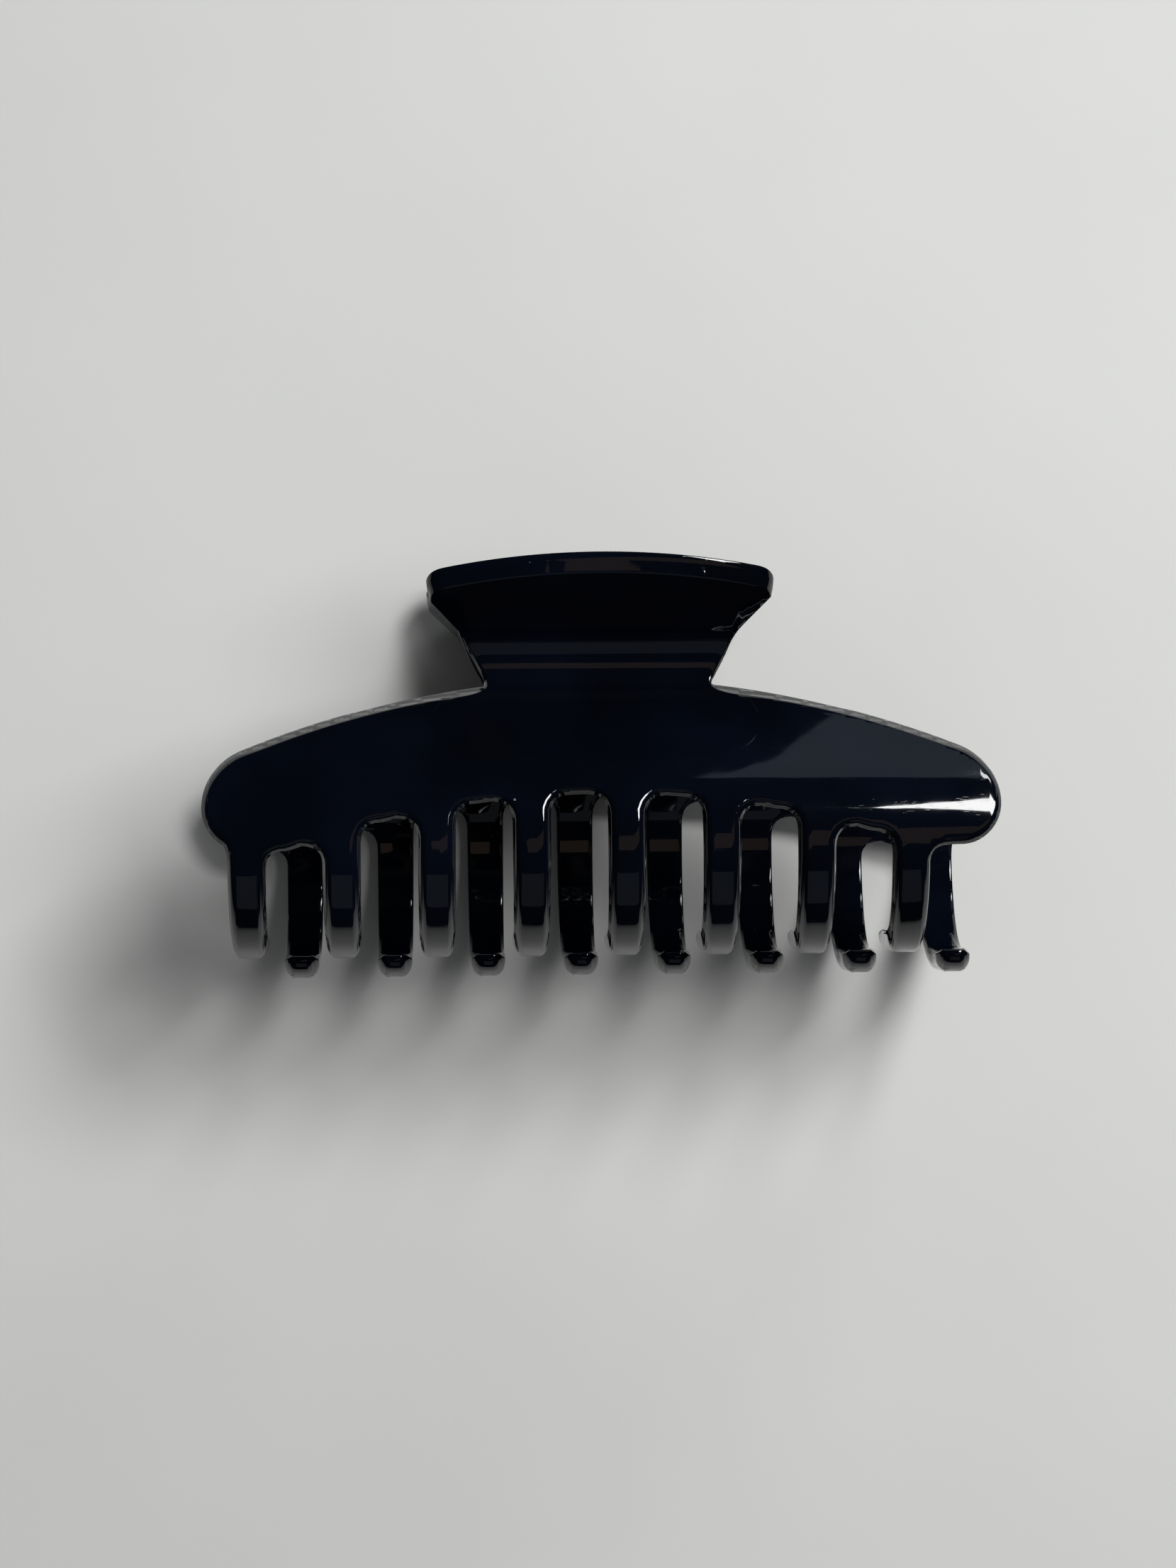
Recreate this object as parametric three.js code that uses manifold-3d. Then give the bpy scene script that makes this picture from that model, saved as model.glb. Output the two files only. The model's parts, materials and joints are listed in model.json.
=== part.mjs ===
// Claw clip: two black moulded jaws with interleaving teeth, hinged on a steel pin and held shut by a
// torsion spring. Sizes are millimetres. The clip lies closed: +X runs along it, +Y from the teeth to
// the thumb tabs, and +Z up from the surface that the rear jaw rests on.
import * as THREE from "three";
import { mergeVertices } from "three/addons/utils/BufferGeometryUtils.js";
import Module from "manifold-3d";

const wasm = await Module();
wasm.setup();

const degrees = THREE.MathUtils.degToRad;

// Overall sizes
const CLIP_LENGTH = 109;
const HALF_DEPTH = 24; // from the plane between the jaws out to a belly or a tab's tip
const WALL = 3.2;
const CLEARANCE = 0.3;

// A jaw seen from its end. Heights are above the pin, and a heading of 0 runs straight down.
const TAB_RISE = 15.2; // the outer edge of the tab's tip
const TAB_HEADING = degrees(-57);
const NECK_RADIUS = 6.2;
const NECK_SPACE = 3.3; // from the neck's inner face to the other jaw's lugs
const SHOULDER_HEADING = degrees(42);
const BELLY_DROP = 22; // from the pin down to the belly's widest point
const FRONT_REACH = 37.2; // from the pin down to the teeth's lowest point
const REAR_REACH = 40;
const TIP_CROSSING = 6; // how far the teeth pass through the plane between the jaws
const CROWN = 2.5; // how far the ends of a belly stand back from its middle
const CROWN_FADE = 12; // height over which the crown dies out below the straight neck

// A jaw seen from the front
const TAB_HALF_WIDTH = 23.7;
const TAB_WIDEST = 11.6; // the height at which its flanks are that far out
const TAB_TIP_RADIUS = 68; // the tip's long arc, drawn on the tab's plate
const TAB_CORNER = 3.2;
const NECK_HALF_WIDTH = 15.2;
const NECK_FILLET = 1.2;
const TOP_RADIUS = 130; // the arc of the body's upper edge
const TOP_APEX = 1.1;
const LOBE_TOP_RADIUS = 8.4;
const LOBE_FOOT_RADIUS = 6;
const ROOT_FILLET = 2.3;

// Teeth
const TOOTH_COUNT = 8;
const TOOTH_WIDTH = 5;
const END_MARGIN = 2.9; // from a jaw's end to its row of teeth, before the row is shifted
const ROW_OFFSET = 0.4; // how far a rear tooth stands off the middle of its gap, as a share of the room
const GAP_RADIUS = 128; // the arc that the gaps' tops follow
const GAP_APEX = -15;

// Hinge
const PIN_RADIUS = 1.2;
const PIN_HEAD_RADIUS = 2.1;
const PIN_HEAD_WIDTH = 0.8;
const LUG_WALL = 1.9; // around the pin's bore
const LUG_WIDTH = 3.4;
const LUG_GAP = 0.6;
const SPRING_BAY = 14.6; // between the inner pair of lugs
const LUG_TOP_HEADING = degrees(-35); // where a lug joins the neck's round
const LUG_FOOT_HEADING = degrees(30);

// Torsion spring
const WIRE_RADIUS = 0.6;
const COIL_RADIUS = 3.1;
const COIL_TURNS = 7;
const LEG_LENGTH = 16;

// Facets
const ARC_SEGMENTS = 9;
const CROWN_STEPS = 12;
const WIRE_SIDES = 6;
const STEPS_PER_TURN = 14;

const toothPitch = (CLIP_LENGTH - 2 * END_MARGIN) / TOOTH_COUNT;
const frontRowShift = -toothPitch / 4;
const rearRowShift = frontRowShift - ROW_OFFSET * (toothPitch / 2 - TOOTH_WIDTH);
const lugRadius = PIN_RADIUS + CLEARANCE + LUG_WALL;
const neckOut = lugRadius + NECK_SPACE + WALL; // the neck's outer face, from the mid-plane
const innerLug = (SPRING_BAY + LUG_WIDTH) / 2;
const outerLug = innerLug + LUG_WIDTH + LUG_GAP;
const lugSpan = outerLug + LUG_WIDTH / 2;

const blackPlastic = new THREE.MeshStandardMaterial({ color: 0x05080f, roughness: 0.14, metalness: 0 });
const springSteel = new THREE.MeshStandardMaterial({ color: 0xa9adb2, roughness: 0.3, metalness: 1 });
const pinSteel = new THREE.MeshStandardMaterial({ color: 0xc3c6ca, roughness: 0.22, metalness: 1 });

function solidOf(geometry) {
  geometry.deleteAttribute("normal");
  geometry.deleteAttribute("uv");
  const merged = mergeVertices(geometry, 1e-4);
  return new wasm.Manifold(
    new wasm.Mesh({
      numProp: 3,
      vertProperties: merged.attributes.position.array,
      triVerts: new Uint32Array(merged.index.array),
    }),
  );
}

function geometryOf(solid) {
  const mesh = solid.getMesh();
  const geometry = new THREE.BufferGeometry();
  geometry.setAttribute("position", new THREE.BufferAttribute(mesh.vertProperties, 3));
  geometry.setIndex(new THREE.BufferAttribute(mesh.triVerts, 1));
  geometry.computeVertexNormals();
  return geometry;
}

// The outer surface seen from the jaw's end, from the tab's tip to a tooth's tip. Each station holds
// its distance out from the mid-plane, its height above the pin and the heading there.
function sideStations(reach) {
  const stations = [];
  let out = HALF_DEPTH;
  let height = TAB_RISE;
  let heading = TAB_HEADING;
  const mark = () => stations.push({ out, height, heading });
  const straight = (length) => {
    out += length * Math.sin(heading);
    height -= length * Math.cos(heading);
    mark();
  };
  // A positive radius bends outwards, and a negative one inwards.
  const arc = (radius, lastHeading) => {
    const centreOut = out + radius * Math.cos(heading);
    const centreHeight = height + radius * Math.sin(heading);
    const firstHeading = heading;
    for (let i = 1; i <= ARC_SEGMENTS; i++) {
      heading = firstHeading + ((lastHeading - firstHeading) * i) / ARC_SEGMENTS;
      out = centreOut - radius * Math.cos(heading);
      height = centreHeight - radius * Math.sin(heading);
      mark();
    }
  };
  mark();
  const neckStart = neckOut + NECK_RADIUS * (1 - Math.cos(TAB_HEADING));
  straight((neckStart - HALF_DEPTH) / Math.sin(TAB_HEADING));
  arc(NECK_RADIUS, SHOULDER_HEADING);
  // A straight shoulder and an arc that together end at the belly's widest point.
  const sine = Math.sin(heading);
  const cosine = Math.cos(heading);
  const outward = HALF_DEPTH - out;
  const downward = height + BELLY_DROP;
  const bellyRadius = (downward * sine - outward * cosine) / (1 - cosine);
  straight((outward - bellyRadius * (1 - cosine)) / sine);
  arc(-bellyRadius, 0);
  arc(-(reach + height), degrees(-90));
  straight(out + TIP_CROSSING - WALL / 2);
  return stations;
}

const inset = ({ out, height, heading }, depth) => ({
  out: out - depth * Math.cos(heading),
  height: height - depth * Math.sin(heading),
});

// A shape drawn in (distance out, height), extruded along X and centred on `middle`.
function extrudeAlongX(points, width, middle, steps = 1) {
  const shape = new THREE.Shape(points.map(({ out, height }) => new THREE.Vector2(-out, height)));
  const geometry = new THREE.ExtrudeGeometry(shape, { depth: width, steps, bevelEnabled: false });
  geometry.rotateY(Math.PI / 2);
  geometry.translate(middle - width / 2, 0, 0);
  return geometry;
}

// The jaw's wall, as long as the clip, with its belly crowned along X and its teeth's ends rounded.
function wallBand(reach) {
  const stations = sideStations(reach);
  const tip = stations.at(-1);
  const outer = stations.map((station) => inset(station, 0));
  const inner = stations.map((station) => inset(station, WALL)).reverse();
  const nose = [];
  for (let i = 1; i < ARC_SEGMENTS; i++) {
    const angle = (Math.PI * i) / ARC_SEGMENTS;
    nose.push({
      out: tip.out - (WALL / 2) * Math.sin(angle),
      height: tip.height + (WALL / 2) * (1 - Math.cos(angle)),
    });
  }
  const band = extrudeAlongX([...outer, ...nose, ...inner], CLIP_LENGTH + 2, 0, CROWN_STEPS);
  const position = band.attributes.position;
  for (let i = 0; i < position.count; i++) {
    const along = position.getX(i) / (CLIP_LENGTH / 2);
    const below = THREE.MathUtils.smoothstep(-position.getY(i), 0, CROWN_FADE);
    position.setZ(i, position.getZ(i) - CROWN * along * along * below);
  }
  return solidOf(band);
}

// One side of the front view, from below its outer tooth up to the tab, for an outer tooth whose
// outer edge is at `edge`.
function flankPoints(edge) {
  const topCentre = TOP_APEX - TOP_RADIUS;
  const lobeTop = CLIP_LENGTH / 2 - LOBE_TOP_RADIUS;
  const lobeFoot = CLIP_LENGTH / 2 - LOBE_FOOT_RADIUS;
  const lobeRise = Math.sqrt((TOP_RADIUS - LOBE_TOP_RADIUS) ** 2 - lobeTop ** 2);
  const lobeHeight = topCentre + lobeRise;
  const underside = lobeHeight - LOBE_FOOT_RADIUS;
  const neckAngle = Math.acos((NECK_HALF_WIDTH + NECK_FILLET) / TOP_RADIUS);
  const neckHeight = topCentre + TOP_RADIUS * Math.sin(neckAngle);
  const flank = new THREE.Vector2(TAB_HALF_WIDTH - NECK_HALF_WIDTH, TAB_WIDEST - neckHeight);
  const fillet = flank.clone().setLength(NECK_FILLET);
  const path = new THREE.Path();
  path.moveTo(edge, -2 * REAR_REACH);
  path.lineTo(edge, underside - ROOT_FILLET);
  if (edge + ROOT_FILLET < lobeFoot) {
    path.quadraticCurveTo(edge, underside, edge + ROOT_FILLET, underside);
    path.absarc(lobeFoot, lobeHeight, LOBE_FOOT_RADIUS, degrees(-90), 0);
  } else {
    const turn = Math.acos(Math.min(1, (edge + ROOT_FILLET / 4 - lobeFoot) / LOBE_FOOT_RADIUS));
    const start = lobeHeight - LOBE_FOOT_RADIUS * Math.sin(turn);
    path.quadraticCurveTo(edge, (start + underside) / 2, edge + ROOT_FILLET / 4, start);
    path.absarc(lobeFoot, lobeHeight, LOBE_FOOT_RADIUS, -turn, 0);
  }
  path.absarc(lobeTop, lobeHeight, LOBE_TOP_RADIUS, 0, Math.atan2(lobeRise, lobeTop));
  path.absarc(0, topCentre, TOP_RADIUS, Math.atan2(lobeRise, lobeTop), neckAngle);
  path.quadraticCurveTo(
    NECK_HALF_WIDTH,
    neckHeight,
    NECK_HALF_WIDTH + fillet.x,
    neckHeight + fillet.y,
  );
  path.lineTo(TAB_HALF_WIDTH, TAB_WIDEST);
  path.lineTo(TAB_HALF_WIDTH, TAB_RISE + 2 * WALL);
  return path.getPoints(4);
}

// The front view, with the row of teeth moved along X by `shift`.
function frontOutline(shift) {
  const gapTop = (x) => GAP_APEX - GAP_RADIUS + Math.sqrt(GAP_RADIUS ** 2 - x ** 2);
  const toothMiddle = (i) => (i - (TOOTH_COUNT - 1) / 2) * toothPitch + shift;
  const first = toothMiddle(0) - TOOTH_WIDTH / 2;
  const last = toothMiddle(TOOTH_COUNT - 1) + TOOTH_WIDTH / 2;
  const path = new THREE.Path();
  path.moveTo(first, -2 * REAR_REACH);
  for (let i = 0; i < TOOTH_COUNT - 1; i++) {
    const left = toothMiddle(i) + TOOTH_WIDTH / 2;
    const right = toothMiddle(i + 1) - TOOTH_WIDTH / 2;
    const fromTop = gapTop(left + ROOT_FILLET);
    const toTop = gapTop(right - ROOT_FILLET);
    path.lineTo(left, -2 * REAR_REACH);
    path.lineTo(left, fromTop - ROOT_FILLET);
    path.quadraticCurveTo(left, fromTop, left + ROOT_FILLET, fromTop);
    path.lineTo(right - ROOT_FILLET, toTop);
    path.quadraticCurveTo(right, toTop, right, toTop - ROOT_FILLET);
    path.lineTo(right, -2 * REAR_REACH);
  }
  const mirrored = flankPoints(-first).map((p) => new THREE.Vector2(-p.x, p.y)).reverse();
  return [...mirrored, ...path.getPoints(4).slice(1), ...flankPoints(last)];
}

// The tab's own outline, cut square to its plate: the tip's long arc and its two round corners.
function tabCutter() {
  const wide = CLIP_LENGTH;
  const cornerX = TAB_HALF_WIDTH - TAB_CORNER;
  const rise = Math.sqrt((TAB_TIP_RADIUS - TAB_CORNER) ** 2 - cornerX ** 2);
  const cornerY = rise - TAB_TIP_RADIUS;
  const meet = Math.atan2(rise, cornerX);
  const path = new THREE.Shape();
  path.moveTo(-wide, -wide);
  path.lineTo(wide, -wide);
  path.lineTo(wide, cornerY - TAB_CORNER);
  path.lineTo(TAB_HALF_WIDTH, cornerY - TAB_CORNER);
  path.absarc(cornerX, cornerY, TAB_CORNER, 0, meet);
  path.absarc(0, -TAB_TIP_RADIUS, TAB_TIP_RADIUS, meet, Math.PI - meet);
  path.absarc(-cornerX, cornerY, TAB_CORNER, Math.PI - meet, Math.PI);
  path.lineTo(-TAB_HALF_WIDTH, cornerY - TAB_CORNER);
  path.lineTo(-wide, cornerY - TAB_CORNER);
  const geometry = new THREE.ExtrudeGeometry(path, {
    depth: 2 * wide,
    curveSegments: 5,
    bevelEnabled: false,
  });
  geometry.translate(0, 0, -wide);
  geometry.rotateX(-TAB_HEADING);
  geometry.translate(0, TAB_RISE, HALF_DEPTH);
  return solidOf(geometry);
}

// A plate that reaches from the middle of the neck's wall to the pin.
function lug(middle) {
  const neck = sideStations(REAR_REACH)[1];
  const centreOut = neck.out + NECK_RADIUS * Math.cos(neck.heading);
  const centreHeight = neck.height + NECK_RADIUS * Math.sin(neck.heading);
  const midWall = NECK_RADIUS + WALL / 2;
  const onNeck = (heading) => ({
    out: centreOut - midWall * Math.cos(heading),
    height: centreHeight - midWall * Math.sin(heading),
  });
  const points = [onNeck(LUG_TOP_HEADING)];
  for (let i = 0; i <= 2 * ARC_SEGMENTS; i++) {
    const angle = degrees(90 + (180 * i) / (2 * ARC_SEGMENTS));
    points.push({ out: lugRadius * Math.cos(angle), height: lugRadius * Math.sin(angle) });
  }
  points.push(onNeck(LUG_FOOT_HEADING));
  return solidOf(extrudeAlongX(points, LUG_WIDTH, middle));
}

function pinBore() {
  const bore = new THREE.CylinderGeometry(
    PIN_RADIUS + CLEARANCE,
    PIN_RADIUS + CLEARANCE,
    4 * lugSpan,
    24,
  );
  bore.rotateZ(Math.PI / 2);
  return solidOf(bore);
}

// A jaw drawn as the front one: its outside faces +Z and the pin runs through the origin along X.
function makeJaw(name, reach, toothShift) {
  const outline = new THREE.Shape(frontOutline(toothShift));
  const depth = 4 * HALF_DEPTH;
  const prism = new THREE.ExtrudeGeometry(outline, { depth, bevelEnabled: false });
  prism.translate(0, 0, -depth / 2);
  const solid = wallBand(reach)
    .intersect(solidOf(prism))
    .intersect(tabCutter())
    .add(lug(-outerLug))
    .add(lug(innerLug))
    .subtract(pinBore());
  const jaw = new THREE.Mesh(geometryOf(solid), blackPlastic.clone());
  jaw.name = name;
  return jaw;
}

function makePin() {
  const headStart = lugSpan + CLEARANCE;
  const headEnd = headStart + PIN_HEAD_WIDTH;
  const profile = [
    [0, -headEnd],
    [PIN_HEAD_RADIUS, -headEnd],
    [PIN_HEAD_RADIUS, -headStart],
    [PIN_RADIUS, -headStart],
    [PIN_RADIUS, headStart],
    [PIN_HEAD_RADIUS, headStart],
    [PIN_HEAD_RADIUS, headEnd],
    [0, headEnd],
  ].map(([radius, height]) => new THREE.Vector2(radius, height));
  const geometry = new THREE.LatheGeometry(profile, 24);
  geometry.rotateZ(Math.PI / 2);
  const pin = new THREE.Mesh(geometryOf(solidOf(geometry)), pinSteel);
  pin.name = "hinge_pin";
  return pin;
}

// How far a leg leans out from straight up, so that its end lies against the inner face of its tab. The
// leg leaves the coil's far side, and the tab's face is `reach` from the pin, square to the tab.
function legLean() {
  const { out, height } = inset({ out: HALF_DEPTH, height: TAB_RISE, heading: TAB_HEADING }, WALL);
  const reach = out * Math.cos(TAB_HEADING) + height * Math.sin(TAB_HEADING) - CLEARANCE - WIRE_RADIUS;
  const fromPin = Math.hypot(LEG_LENGTH, COIL_RADIUS);
  return Math.asin(reach / fromPin) + Math.atan(COIL_RADIUS / LEG_LENGTH) - TAB_HEADING;
}

// The wire's centre line: rear leg, coil and front leg, each tangent to the next.
class SpringPath extends THREE.Curve {
  constructor() {
    super();
    this.lean = legLean();
    this.halfWidth = SPRING_BAY / 2 - CLEARANCE - WIRE_RADIUS;
    this.sweep = 2 * Math.PI * COIL_TURNS - Math.PI + 2 * this.lean;
    this.coilLength = Math.hypot(this.sweep * COIL_RADIUS, 2 * this.halfWidth);
    this.fullLength = this.coilLength + 2 * LEG_LENGTH;
  }
  onCoil(share) {
    const angle = this.lean - share * this.sweep;
    return new THREE.Vector3(
      (2 * share - 1) * this.halfWidth,
      COIL_RADIUS * Math.sin(angle),
      COIL_RADIUS * Math.cos(angle),
    );
  }
  getPoint(t) {
    const walked = t * this.fullLength - LEG_LENGTH;
    if (walked < 0) {
      const rearWay = new THREE.Vector3(0, Math.cos(this.lean), -Math.sin(this.lean));
      return this.onCoil(0).addScaledVector(rearWay, -walked);
    }
    if (walked > this.coilLength) {
      const frontWay = new THREE.Vector3(0, Math.cos(this.lean), Math.sin(this.lean));
      return this.onCoil(1).addScaledVector(frontWay, walked - this.coilLength);
    }
    return this.onCoil(walked / this.coilLength);
  }
}

function makeSpring() {
  const path = new SpringPath();
  const section = new THREE.Shape();
  for (let i = 0; i < WIRE_SIDES; i++) {
    const angle = (2 * Math.PI * i) / WIRE_SIDES;
    const point = [WIRE_RADIUS * Math.cos(angle), WIRE_RADIUS * Math.sin(angle)];
    if (i === 0) section.moveTo(...point);
    else section.lineTo(...point);
  }
  const steps = Math.round((STEPS_PER_TURN * path.fullLength) / (2 * Math.PI * COIL_RADIUS));
  const geometry = new THREE.ExtrudeGeometry(section, { steps, extrudePath: path });
  const spring = new THREE.Mesh(geometryOf(solidOf(geometry)), springSteel);
  spring.name = "torsion_spring";
  return spring;
}

const clip = new THREE.Group();
clip.name = "claw_clip";

const frontJaw = makeJaw("front_jaw", FRONT_REACH, frontRowShift);
const rearJaw = makeJaw("rear_jaw", REAR_REACH, rearRowShift);
rearJaw.rotation.y = Math.PI;

clip.add(frontJaw, rearJaw, makePin(), makeSpring());

// The pin's place, which puts the middle of the whole clip over the origin and its foot on z = 0.
const tabTop = TAB_RISE - WALL * Math.sin(TAB_HEADING);
const lowest = Math.max(FRONT_REACH, REAR_REACH);
clip.position.set(0, (lowest - tabTop) / 2, HALF_DEPTH);

export default clip;
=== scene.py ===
# %% [markdown]
# # A moulded claw clip
# This lesson builds the looks of a large hair claw clip around its CAD frame: two glossy black jaws
# whose teeth pass between each other, the steel pin that they turn on and the torsion spring that
# keeps them shut. The frame gives every place and size; Blender adds the real surfaces.

# %% Load the frame
import json
import math

import bmesh
import bpy
from mathutils import Matrix, Vector


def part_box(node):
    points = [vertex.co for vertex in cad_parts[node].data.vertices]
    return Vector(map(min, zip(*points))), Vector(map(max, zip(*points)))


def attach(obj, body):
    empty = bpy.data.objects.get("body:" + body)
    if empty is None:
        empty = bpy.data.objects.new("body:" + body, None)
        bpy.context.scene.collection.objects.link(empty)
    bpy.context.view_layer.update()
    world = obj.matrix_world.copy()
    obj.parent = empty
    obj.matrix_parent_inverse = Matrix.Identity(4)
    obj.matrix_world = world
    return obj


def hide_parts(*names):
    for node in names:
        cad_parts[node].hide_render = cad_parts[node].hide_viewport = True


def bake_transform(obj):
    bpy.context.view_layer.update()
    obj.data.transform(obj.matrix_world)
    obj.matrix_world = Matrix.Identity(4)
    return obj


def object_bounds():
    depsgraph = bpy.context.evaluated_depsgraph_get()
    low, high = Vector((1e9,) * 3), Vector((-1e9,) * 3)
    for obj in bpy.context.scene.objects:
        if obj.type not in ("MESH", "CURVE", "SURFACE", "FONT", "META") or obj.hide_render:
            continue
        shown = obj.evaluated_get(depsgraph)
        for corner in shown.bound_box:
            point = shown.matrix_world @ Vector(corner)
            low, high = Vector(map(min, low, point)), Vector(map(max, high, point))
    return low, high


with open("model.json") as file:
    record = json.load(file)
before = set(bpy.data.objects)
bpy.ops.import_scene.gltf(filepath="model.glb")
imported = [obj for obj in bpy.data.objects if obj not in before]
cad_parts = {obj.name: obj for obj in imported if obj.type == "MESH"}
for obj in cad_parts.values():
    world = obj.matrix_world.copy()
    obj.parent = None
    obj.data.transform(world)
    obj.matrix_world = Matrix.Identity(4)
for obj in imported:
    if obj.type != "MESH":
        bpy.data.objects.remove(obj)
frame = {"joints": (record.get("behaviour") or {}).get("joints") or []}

MM = 0.001
cad_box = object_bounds()
joint = frame["joints"][0]
PIVOT = Vector(joint["pos_m"])
print("CAD box in mm:", [[round(c / MM, 2) for c in corner] for corner in cad_box])
print("hinge axis passes through, in mm:", [round(c / MM, 3) for c in PIVOT])

# %% [markdown]
# ## The sizes of a jaw
# A jaw is one injection moulding. Seen from its end it is a wall of even thickness that runs from the
# thumb tab, through a tight neck, round a deep belly and into the teeth. Seen from the front it is a
# long bow with a tab on top and eight teeth below. These are its driving sizes in millimetres, with
# heights measured from the hinge pin; the overall ones come from the frame.

# %% Driving sizes
CLIP_LENGTH = (cad_box[1].x - cad_box[0].x) / MM
HALF_DEPTH = PIVOT.z / MM
REAR_REACH = (PIVOT.y - cad_box[0].y) / MM
FRONT_REACH = (PIVOT.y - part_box("front_jaw")[0].y) / MM
WALL = 3.2
TIP_CROSSING = 6.0
CROWN = 2.5
CROWN_FADE = 12.0

TAB_RISE = 15.2
TAB_HEADING = math.radians(-57)
NECK_RADIUS = 6.2
NECK_OUT = 9.9
SHOULDER_HEADING = math.radians(42)
BELLY_DROP = 22.0

TAB_HALF_WIDTH = 23.7
TAB_WIDEST = 11.6
TAB_TIP_RADIUS = 68.0
TAB_CORNER = 3.2
NECK_HALF_WIDTH = 15.2
NECK_FILLET = 1.2
TOP_RADIUS = 130.0
TOP_APEX = 1.1
LOBE_TOP_RADIUS = 8.4
LOBE_FOOT_RADIUS = 6.0

TOOTH_COUNT = 8
TOOTH_WIDTH = 5.2
END_MARGIN = 2.9
ROW_OFFSET = 0.58
ROOT_FILLET = 2.8
GAP_RADIUS = 128.0
GAP_APEX = -15.0
TOOTH_PITCH = (CLIP_LENGTH - 2 * END_MARGIN) / TOOTH_COUNT
FRONT_ROW_SHIFT = -TOOTH_PITCH / 4
REAR_ROW_SHIFT = FRONT_ROW_SHIFT - ROW_OFFSET
print(f"length {CLIP_LENGTH:.1f}, reach {FRONT_REACH:.1f} and {REAR_REACH:.1f} mm")
print(f"tooth pitch {TOOTH_PITCH:.2f} mm")

# %% [markdown]
# ## The wall's path
# The side view is a chain of strokes: a flat plate, then arcs that each start in the direction where
# the last one ended, so the outside has no kink for a reflection to break at. A heading of 0 runs
# straight down beside the plane between the jaws, and a positive heading runs outwards. A spline
# through points would be quicker to draw, but a spline wobbles, and glossy plastic shows every wobble.


# %% Strokes of the side view
def side_strokes(reach):
    """Each stroke: its start along the path, its place and heading there, its radius and length."""
    strokes = []
    along, out, height, heading = 0.0, HALF_DEPTH, TAB_RISE, TAB_HEADING

    def straight(length):
        nonlocal along, out, height
        strokes.append((along, out, height, heading, None, length))
        along += length
        out += length * math.sin(heading)
        height -= length * math.cos(heading)

    def arc(radius, last_heading):
        nonlocal along, out, height, heading
        length = radius * (last_heading - heading)
        strokes.append((along, out, height, heading, radius, length))
        centre_out = out + radius * math.cos(heading)
        centre_height = height + radius * math.sin(heading)
        along += length
        heading = last_heading
        out = centre_out - radius * math.cos(heading)
        height = centre_height - radius * math.sin(heading)

    neck_start = NECK_OUT + NECK_RADIUS * (1 - math.cos(TAB_HEADING))
    straight((neck_start - HALF_DEPTH) / math.sin(TAB_HEADING))
    arc(NECK_RADIUS, SHOULDER_HEADING)
    sine, cosine = math.sin(heading), math.cos(heading)
    outward, downward = HALF_DEPTH - out, height + BELLY_DROP
    belly_radius = (downward * sine - outward * cosine) / (1 - cosine)
    straight((outward - belly_radius * (1 - cosine)) / sine)
    arc(-belly_radius, 0.0)
    arc(-(reach + height), math.radians(-90))
    straight(out + TIP_CROSSING)
    return strokes


def walk(strokes, along):
    """Place and heading on the outer surface, `along` millimetres from the tab's tip."""
    stroke = strokes[0]
    for candidate in strokes:
        if candidate[0] <= along:
            stroke = candidate
    start, out, height, heading, radius, _ = stroke
    run = along - start
    if radius is None:
        return out + run * math.sin(heading), height - run * math.cos(heading), heading
    here = heading + run / radius
    return (
        out + radius * (math.cos(heading) - math.cos(here)),
        height + radius * (math.sin(heading) - math.sin(here)),
        here,
    )


def bisect(wanted, value_at, low, high):
    """Where a function that falls from low to high takes the wanted value."""
    for _ in range(40):
        middle = (low + high) / 2
        if value_at(middle) > wanted:
            low = middle
        else:
            high = middle
    return (low + high) / 2


def smoothstep(value, low, high):
    share = min(1.0, max(0.0, (value - low) / (high - low)))
    return share * share * (3 - 2 * share)


rear_path = side_strokes(REAR_REACH)
front_path = side_strokes(FRONT_REACH)
print("tab tip to tooth tip along the outside:", round(rear_path[-1][0] + rear_path[-1][5], 2), "mm")

# %% [markdown]
# ## The outline seen from the front
# Each point of the outline holds its place across, its height, and how the jaw's edge is cut there.
# The teeth have a D section, flat inside and well rounded outside, so that no strand of hair meets a
# corner. The body's upper edge and the tab's rim are cut at a slant instead, which is the draft that
# lets the moulding leave its mould, and have only a small round.

# %% Helpers that draw the outline
# Each edge is (slant, width of the outer round, depth of the outer round) in millimetres.
TIP_EDGE = (0.0, 1.6, 2.3)
TOOTH_EDGE = (0.12, 1.2, 2.2)
GAP_EDGE = (0.25, 1.0, 1.8)
LOBE_EDGE = (0.35, 0.9, 1.7)
BODY_EDGE = (1.2, 0.2, 0.3)
FLANK_EDGE = (0.12, 0.3, 0.5)
CORNER_EDGE = (0.6, 0.3, 0.4)
RIM_EDGE = (0.6, 0.35, 0.45)
OUTLINE_STEP = 0.7

TIP_ROUND = 1.7
TIP_REACH = 7.0
CORNER_START = math.radians(-22)
OUTER_FILLET = ROOT_FILLET / 4


def arc_points(centre, radius, first, last, cut):
    """Points on an arc, with angles in radians, without its first point."""
    count = max(2, round(abs(last - first) * radius / OUTLINE_STEP))
    points = []
    for i in range(1, count + 1):
        angle = first + (last - first) * i / count
        points.append((centre[0] + radius * math.cos(angle), centre[1] + radius * math.sin(angle), cut))
    return points


def curve_points(start, control, end, cut, count=6):
    """Points on a quadratic curve, which rounds a corner between two edges, without its first point."""
    points = []
    for i in range(1, count + 1):
        t = i / count
        a, b, c = (1 - t) ** 2, 2 * t * (1 - t), t * t
        points.append(tuple(a * start[k] + b * control[k] + c * end[k] for k in (0, 1)) + (cut,))
    return points


def side_points(x, first, last, count=10):
    """The lower end of a tooth's straight side, whose cut changes from the tooth's to the tip's."""
    points = []
    for i in range(count + 1):
        share = i / count if first > last else 1 - i / count
        cut = tuple(a + (b - a) * share for a, b in zip(TOOTH_EDGE, TIP_EDGE))
        points.append((x, first + (last - first) * i / count, cut))
    return points


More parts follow.
